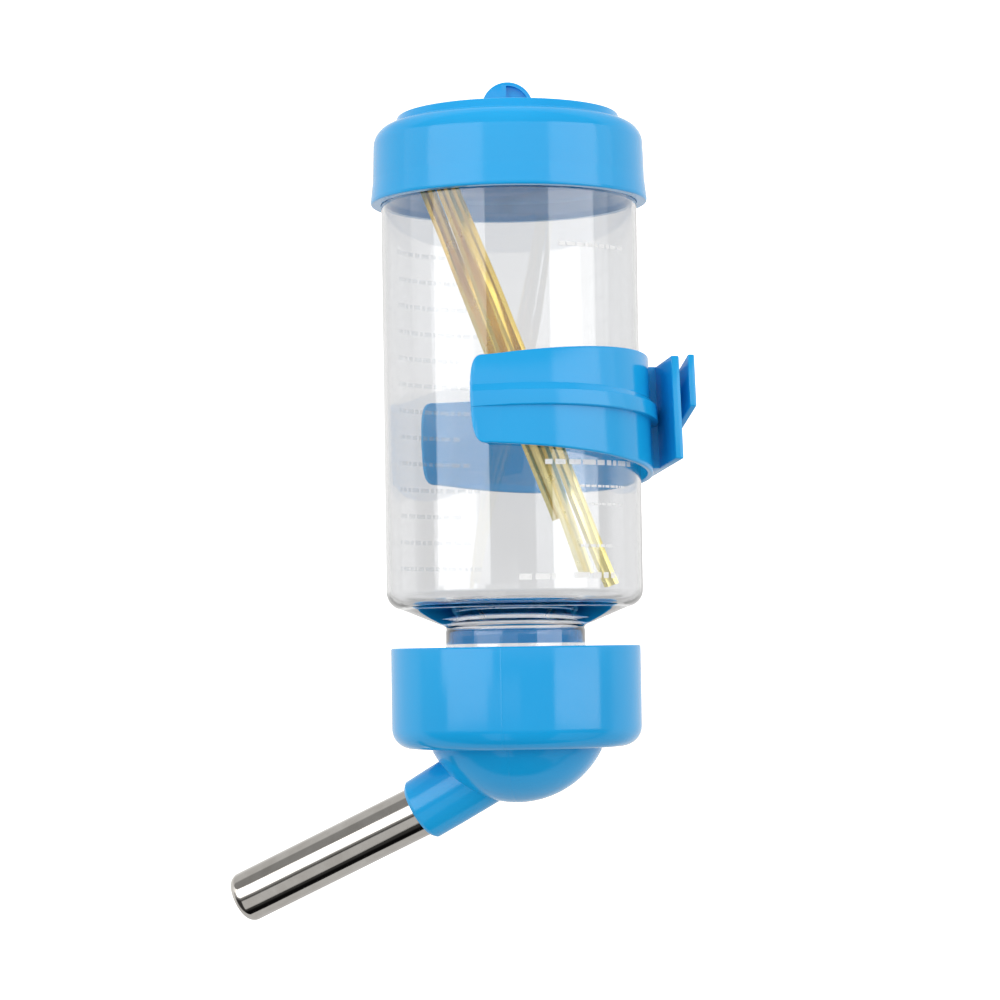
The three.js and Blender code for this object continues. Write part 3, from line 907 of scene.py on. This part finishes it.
# ------------------------------------------------------------ foil ties
def build_tie(node, name, seed):
    """A long strip of film, creased along its length, between the two ends of its CAD node."""
    low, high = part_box(node)
    inset = 0.0009
    top = Vector((low.x + inset, high.y - inset * 2, high.z - inset))
    bottom = Vector((high.x - inset, low.y + inset * 2, low.z + inset))
    length = (bottom - top).length
    forward = (bottom - top).normalized()
    facing = math.radians(CAMERA_AZIMUTH)
    toward = Vector((math.sin(facing), -math.cos(facing), 0))
    width_axis = forward.cross(toward).normalized()
    depth_axis = width_axis.cross(forward).normalized()
    half_width = 0.0019
    half_thick = 0.00008
    wander = 0.0005  # how far the strip strays sideways
    most_twist = 0.5  # radians
    rows = 160
    # Creases across the strip, as (place, height) in shares of its half width. Each drifts
    # along the strip.
    creases = [(-1.0, 0.0), (-0.45, 0.34), (0.05, -0.12), (0.5, 0.26), (1.0, -0.05)]
    per_crease = 3
    bm = bmesh.new()
    front, back = [], []
    for i in range(rows + 1):
        run = i / rows * length
        centre = top + forward * run
        centre += width_axis * wander * noise.noise((seed, 0.5, run * 25))
        twist = most_twist * noise.noise((seed, 3.1, run * 18))
        across = width_axis * math.cos(twist) + depth_axis * math.sin(twist)
        normal = depth_axis * math.cos(twist) - width_axis * math.sin(twist)
        spots = []
        for k, (u, h) in enumerate(creases):
            drift = 0.3 * noise.noise((seed, k * 5.0, run * 20)) * (1 - u * u)
            lift = h + 0.28 * noise.noise((seed, k * 5.0 + 2.5, run * 24))
            spots.append((u + drift, lift))
        section = []
        for (u0, h0), (u1, h1) in zip(spots, spots[1:]):
            for m in range(per_crease):
                share = m / per_crease
                sag = 0.05 * share * (1 - share)
                section.append((u0 + (u1 - u0) * share, h0 + (h1 - h0) * share - sag))
        section.append(spots[-1])
        front_row, back_row = [], []
        for u, h in section:
            base = centre + across * (u * half_width) + normal * (h * half_width)
            front_row.append(bm.verts.new(base + normal * half_thick))
            back_row.append(bm.verts.new(base - normal * half_thick))
        front.append(front_row)
        back.append(back_row)
    columns = len(front[0]) - 1
    for i in range(rows):
        for j in range(columns):
            bm.faces.new((front[i][j], front[i][j + 1], front[i + 1][j + 1], front[i + 1][j]))
            bm.faces.new((back[i][j], back[i + 1][j], back[i + 1][j + 1], back[i][j + 1]))
        bm.faces.new((front[i][0], front[i + 1][0], back[i + 1][0], back[i][0]))
        edge = (front[i][columns], back[i][columns], back[i + 1][columns], front[i + 1][columns])
        bm.faces.new(edge)
    for j in range(columns):
        bm.faces.new((front[0][j], back[0][j], back[0][j + 1], front[0][j + 1]))
        bm.faces.new((front[rows][j + 1], back[rows][j + 1], back[rows][j], front[rows][j]))
    return finished(name, bm, GOLD, sharp=12)


# ------------------------------------------------------------ printing on the bottle
INK_THICKNESS = 0.04


def build_print(name, rows, ink):
    """Rows of plain dashes in raised ink, bent round the bottle.
    A row is (height, from angle, to angle, dash height), in mm and degrees."""
    bm = bmesh.new()
    inner = BOTTLE_R - 0.01
    outer = BOTTLE_R + INK_THICKNESS
    for z, start, end, tall in rows:
        low, high = z - tall / 2, z + tall / 2
        a = math.radians(start)
        stop = math.radians(end)
        while a < stop:
            width = min(DRAW.uniform(0.9, 3.2) * tall / BOTTLE_R, stop - a)
            steps = max(1, round(width / math.radians(2)))
            loops = []
            for k in range(steps + 1):
                b = a + width * k / steps
                c, s = math.cos(b), math.sin(b)
                corners = ((inner, low), (outer, low), (outer, high), (inner, high))
                loops.append([bm.verts.new((r * c, r * s, h)) for r, h in corners])
            for p, q in zip(loops, loops[1:]):
                for i in range(4):
                    j = (i + 1) % 4
                    bm.faces.new((p[i], p[j], q[j], q[i]))
            bm.faces.new(loops[0][::-1])
            bm.faces.new(loops[-1])
            a += width + DRAW.uniform(0.35, 0.8) * tall / BOTTLE_R
    return finished(name, place(bm, ON_AXIS), ink)


# ------------------------------------------------------------ assembly
piece(build_bottle(), "bottle", "clear_plastic", "bottle_shell")
piece(build_lid(), "lid", "blue_plastic", "lid")
piece(build_seal("lid_seal", "lid_seal_soft"), "lid_carrier", "silicone", "lid_seal")
piece(build_cap(), "cap", "blue_plastic", "spout_cap")
piece(build_seal("neck_seal", "neck_seal_soft"), "cap_carrier", "silicone", "neck_seal")
piece(build_tube(), "cap", "polished_steel", "drink_tube")
piece(build_bush(), "cap", "silicone", "tube_bush")
piece(build_stop(), "cap", "white_plastic", "ball_stop")
piece(build_ball("tip_ball", "tip_ball_steel"), "tip_ball", "polished_steel", "tip_ball")
piece(build_ball("rear_ball", "rear_ball_steel"), "rear_ball", "polished_steel", "rear_ball")
piece(build_bracket(), "bracket", "blue_plastic", "bracket")
for number in (1, 2, 3):
    tie = build_tie(f"foil_tie_{number}", f"tie_{number}_foil", number * 3.7)
    piece(tie, "bottle", "gold_foil", f"foil_tie_{number}")

FACING = CAMERA_AZIMUTH - 90  # the angle from +X, about the bottle's axis, that faces the camera
front_rows = [
    (127, FACING + 22, FACING + 60, 1.0),
    (76.5, FACING + 20, FACING + 60, 0.8),
    (72, FACING + 14, FACING + 64, 1.3),
    (66, FACING + 30, FACING + 58, 0.6),
    (61.5, FACING + 36, FACING + 56, 0.6),
    (51, FACING + 30, FACING + 48, 0.8),
    (43.3, FACING + 2, FACING + 18, 1.5),
    (43.6, FACING + 27, FACING + 52, 1.5),
]
back_rows = [(47 + 7.0 * k, FACING + 196 + 5 * (k % 3), FACING + 248, 1.1) for k in range(13)]
piece(build_print("print_front", front_rows, WHITE_INK), "bottle", "white_plastic")
piece(build_print("print_back", back_rows, FAINT_INK), "bottle", "white_plastic")


# ------------------------------------------------------------ studio
def build_floor():
    """A pale sweep: a floor that curves up into a wall behind."""
    floor_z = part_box("drink_tube")[0].z - 0.10
    bm = bmesh.new()
    profile = [(-2.5, 0.0)]
    bend = 0.8
    for k in range(25):
        a = math.pi / 2 * k / 24
        profile.append((2.0 + bend * math.sin(a), bend * (1 - math.cos(a))))
    profile.append((2.0 + bend, 4.0))
    rows = [[bm.verts.new((x, y, floor_z + z)) for x in (-4.0, 4.0)] for y, z in profile]
    for a, b in zip(rows, rows[1:]):
        bm.faces.new((a[0], a[1], b[1], b[0]))
    n = Nodes("backdrop")
    cloud = n.noise(3, 2)
    n.shade(Base_Color=n.mix(n.remap(cloud, 0, 1), rgb(0xFDFDFD), rgb(0xFFFFFF)), Roughness=0.9)
    n.shade(Emission_Color=(1, 1, 1, 1), Emission_Strength=0.6)
    floor = finished("floor", bm, n.material)
    floor.visible_glossy = False
    floor.visible_transmission = False
    floor.visible_diffuse = False
    return floor


def softbox(name, azimuth, elevation, distance, width, height, power):
    """An area light aimed at the middle of the bottle. Its azimuth is from the camera's side."""
    data = bpy.data.lights.new(name, "AREA")
    data.shape = "RECTANGLE"
    data.size = width
    data.size_y = height
    data.energy = power
    light = bpy.data.objects.new(name, data)
    bpy.context.scene.collection.objects.link(light)
    a = math.radians(azimuth + CAMERA_AZIMUTH)
    e = math.radians(elevation)
    aim = Vector((AXIS_X, 0, 0.0))
    offset = Vector((math.sin(a) * math.cos(e), -math.cos(a) * math.cos(e), math.sin(e)))
    light.location = aim + offset * distance
    light.rotation_euler = (-offset).to_track_quat("-Z", "Y").to_euler()
    light.visible_camera = False
    light.visible_glossy = False
    light.visible_transmission = False
    return light


def build_camera():
    data = bpy.data.cameras.new("camera")
    data.sensor_width = 36
    data.lens = FOCAL * data.sensor_width
    camera = bpy.data.objects.new("camera", data)
    bpy.context.scene.collection.objects.link(camera)
    a = math.radians(CAMERA_AZIMUTH)
    foot = Vector((AXIS_X, 0, DATUM.z + CAMERA_RISE))
    camera.location = foot + Vector((math.sin(a), -math.cos(a), 0)) * CAMERA_DISTANCE
    turn = Matrix.Rotation(a + CAMERA_PAN, 4, "Z")
    turn = turn @ Matrix.Rotation(math.pi / 2 + CAMERA_PITCH, 4, "X")
    camera.rotation_euler = (turn @ Matrix.Rotation(CAMERA_ROLL, 4, "Z")).to_euler()
    bpy.context.scene.camera = camera
    return camera


# Soft boxes and dark areas that mirror-like reflections see, as (azimuth from, to, elevation
# from, to, brightness), in degrees. Azimuth is from the camera's side, positive to its right.
FRONT_DARK = 0.32
PATCHES = [
    (-100, 100, -9, 25, 0.55),
    (-100, 100, 4, 25, 1.3),
    (-72, -21, 0, 26, 2.7),
    (-66, -26, -6, 2, 2.5),
    (-28, 4, -6, 2, 1.1),
    (35, 82, 3, 26, 2.7),
    (35, 82, -7, 4, 2.9),
    (9, 16, 5, 20, 1.1),
    (-34, -8, -58, -20, 0.62),
    (40, 88, -58, -20, 0.5),
]
BEHIND = 0.92


def build_world():
    """Even light for matt surfaces.
    Mirror-like ones see soft boxes, a dark front and a pale back."""
    n = Nodes("studio", world=True)
    bpy.context.scene.world = n.material
    turned_round = n.add("ShaderNodeVectorRotate", rotation_type="Z_AXIS")
    n.set(turned_round.inputs["Vector"], n.place)
    turned_round.inputs["Angle"].default_value = -math.radians(CAMERA_AZIMUTH)
    parts = n.add("ShaderNodeSeparateXYZ", {"Vector": turned_round.outputs[0]}).outputs
    forward = n.math("MULTIPLY", parts["Y"], -1.0)
    azimuth = n.math("MULTIPLY", n.math("ARCTAN2", parts["X"], forward), 180 / math.pi)
    elevation = n.math("MULTIPLY", n.math("ARCSINE", parts["Z"]), 180 / math.pi)
    around = n.math("ABSOLUTE", azimuth)

    low_front = n.ramp(elevation, -8, -20)
    kept = n.math("SUBTRACT", 1.0, n.math("MULTIPLY", low_front, 0.85))
    level = n.math("MULTIPLY", kept, FRONT_DARK)
    for az0, az1, el0, el1, bright in PATCHES:
        inside = n.ramp(azimuth, az0 - 1, az0 + 1)
        inside = n.math("MULTIPLY", inside, n.ramp(azimuth, az1 + 1, az1 - 1))
        inside = n.math("MULTIPLY", inside, n.ramp(elevation, el0 - 2, el0 + 2))
        inside = n.math("MULTIPLY", inside, n.ramp(elevation, el1 + 2, el1 - 2))
        level = n.math("MAXIMUM", level, n.math("MULTIPLY", inside, bright))
    back = n.math("MULTIPLY", n.ramp(around, 84, 104), BEHIND)
    back = n.math("MULTIPLY", back, n.remap(n.ramp(elevation, -12, -35), 1.0, 0.7, 0, 1))
    back = n.math("MULTIPLY", back, n.remap(n.ramp(elevation, 18, 34), 1.0, 0.7, 0, 1))
    level = n.math("MAXIMUM", level, back)
    nadir = n.math("MULTIPLY", n.ramp(elevation, -64, -73), n.ramp(around, 92, 66))
    level = n.math("MULTIPLY", level, n.remap(nadir, 1.0, 0.1, 0, 1))

    soft = n.remap(elevation, 0.55, 0.95, -60, 40)
    path = n.add("ShaderNodeLightPath").outputs
    strength = n.add("ShaderNodeMix", data_type="FLOAT")
    n.set(strength.inputs[0], path["Is Diffuse Ray"])
    seen_through = n.math("MAXIMUM", level, n.math("MULTIPLY", path["Is Transmission Ray"], 0.6))
    n.set(strength.inputs[2], seen_through)
    n.set(strength.inputs[3], soft)
    shown = n.add("ShaderNodeMix", data_type="FLOAT")
    n.set(shown.inputs[0], path["Is Camera Ray"])
    n.set(shown.inputs[2], strength.outputs[0])
    shown.inputs[3].default_value = 1.0
    n.set(n.shader.inputs["Color"], (1, 0.995, 0.985, 1))
    n.set(n.shader.inputs["Strength"], shown.outputs[0])


build_floor()
build_world()
softbox("left_box", -46, 14, 0.9, 0.45, 0.9, 1.55)
softbox("right_box", 58, 10, 0.9, 0.45, 0.9, 1.15)
softbox("top_box", 0, 70, 1.0, 0.8, 0.8, 1.0)
build_camera()
bpy.context.scene.view_settings.view_transform = "Standard"
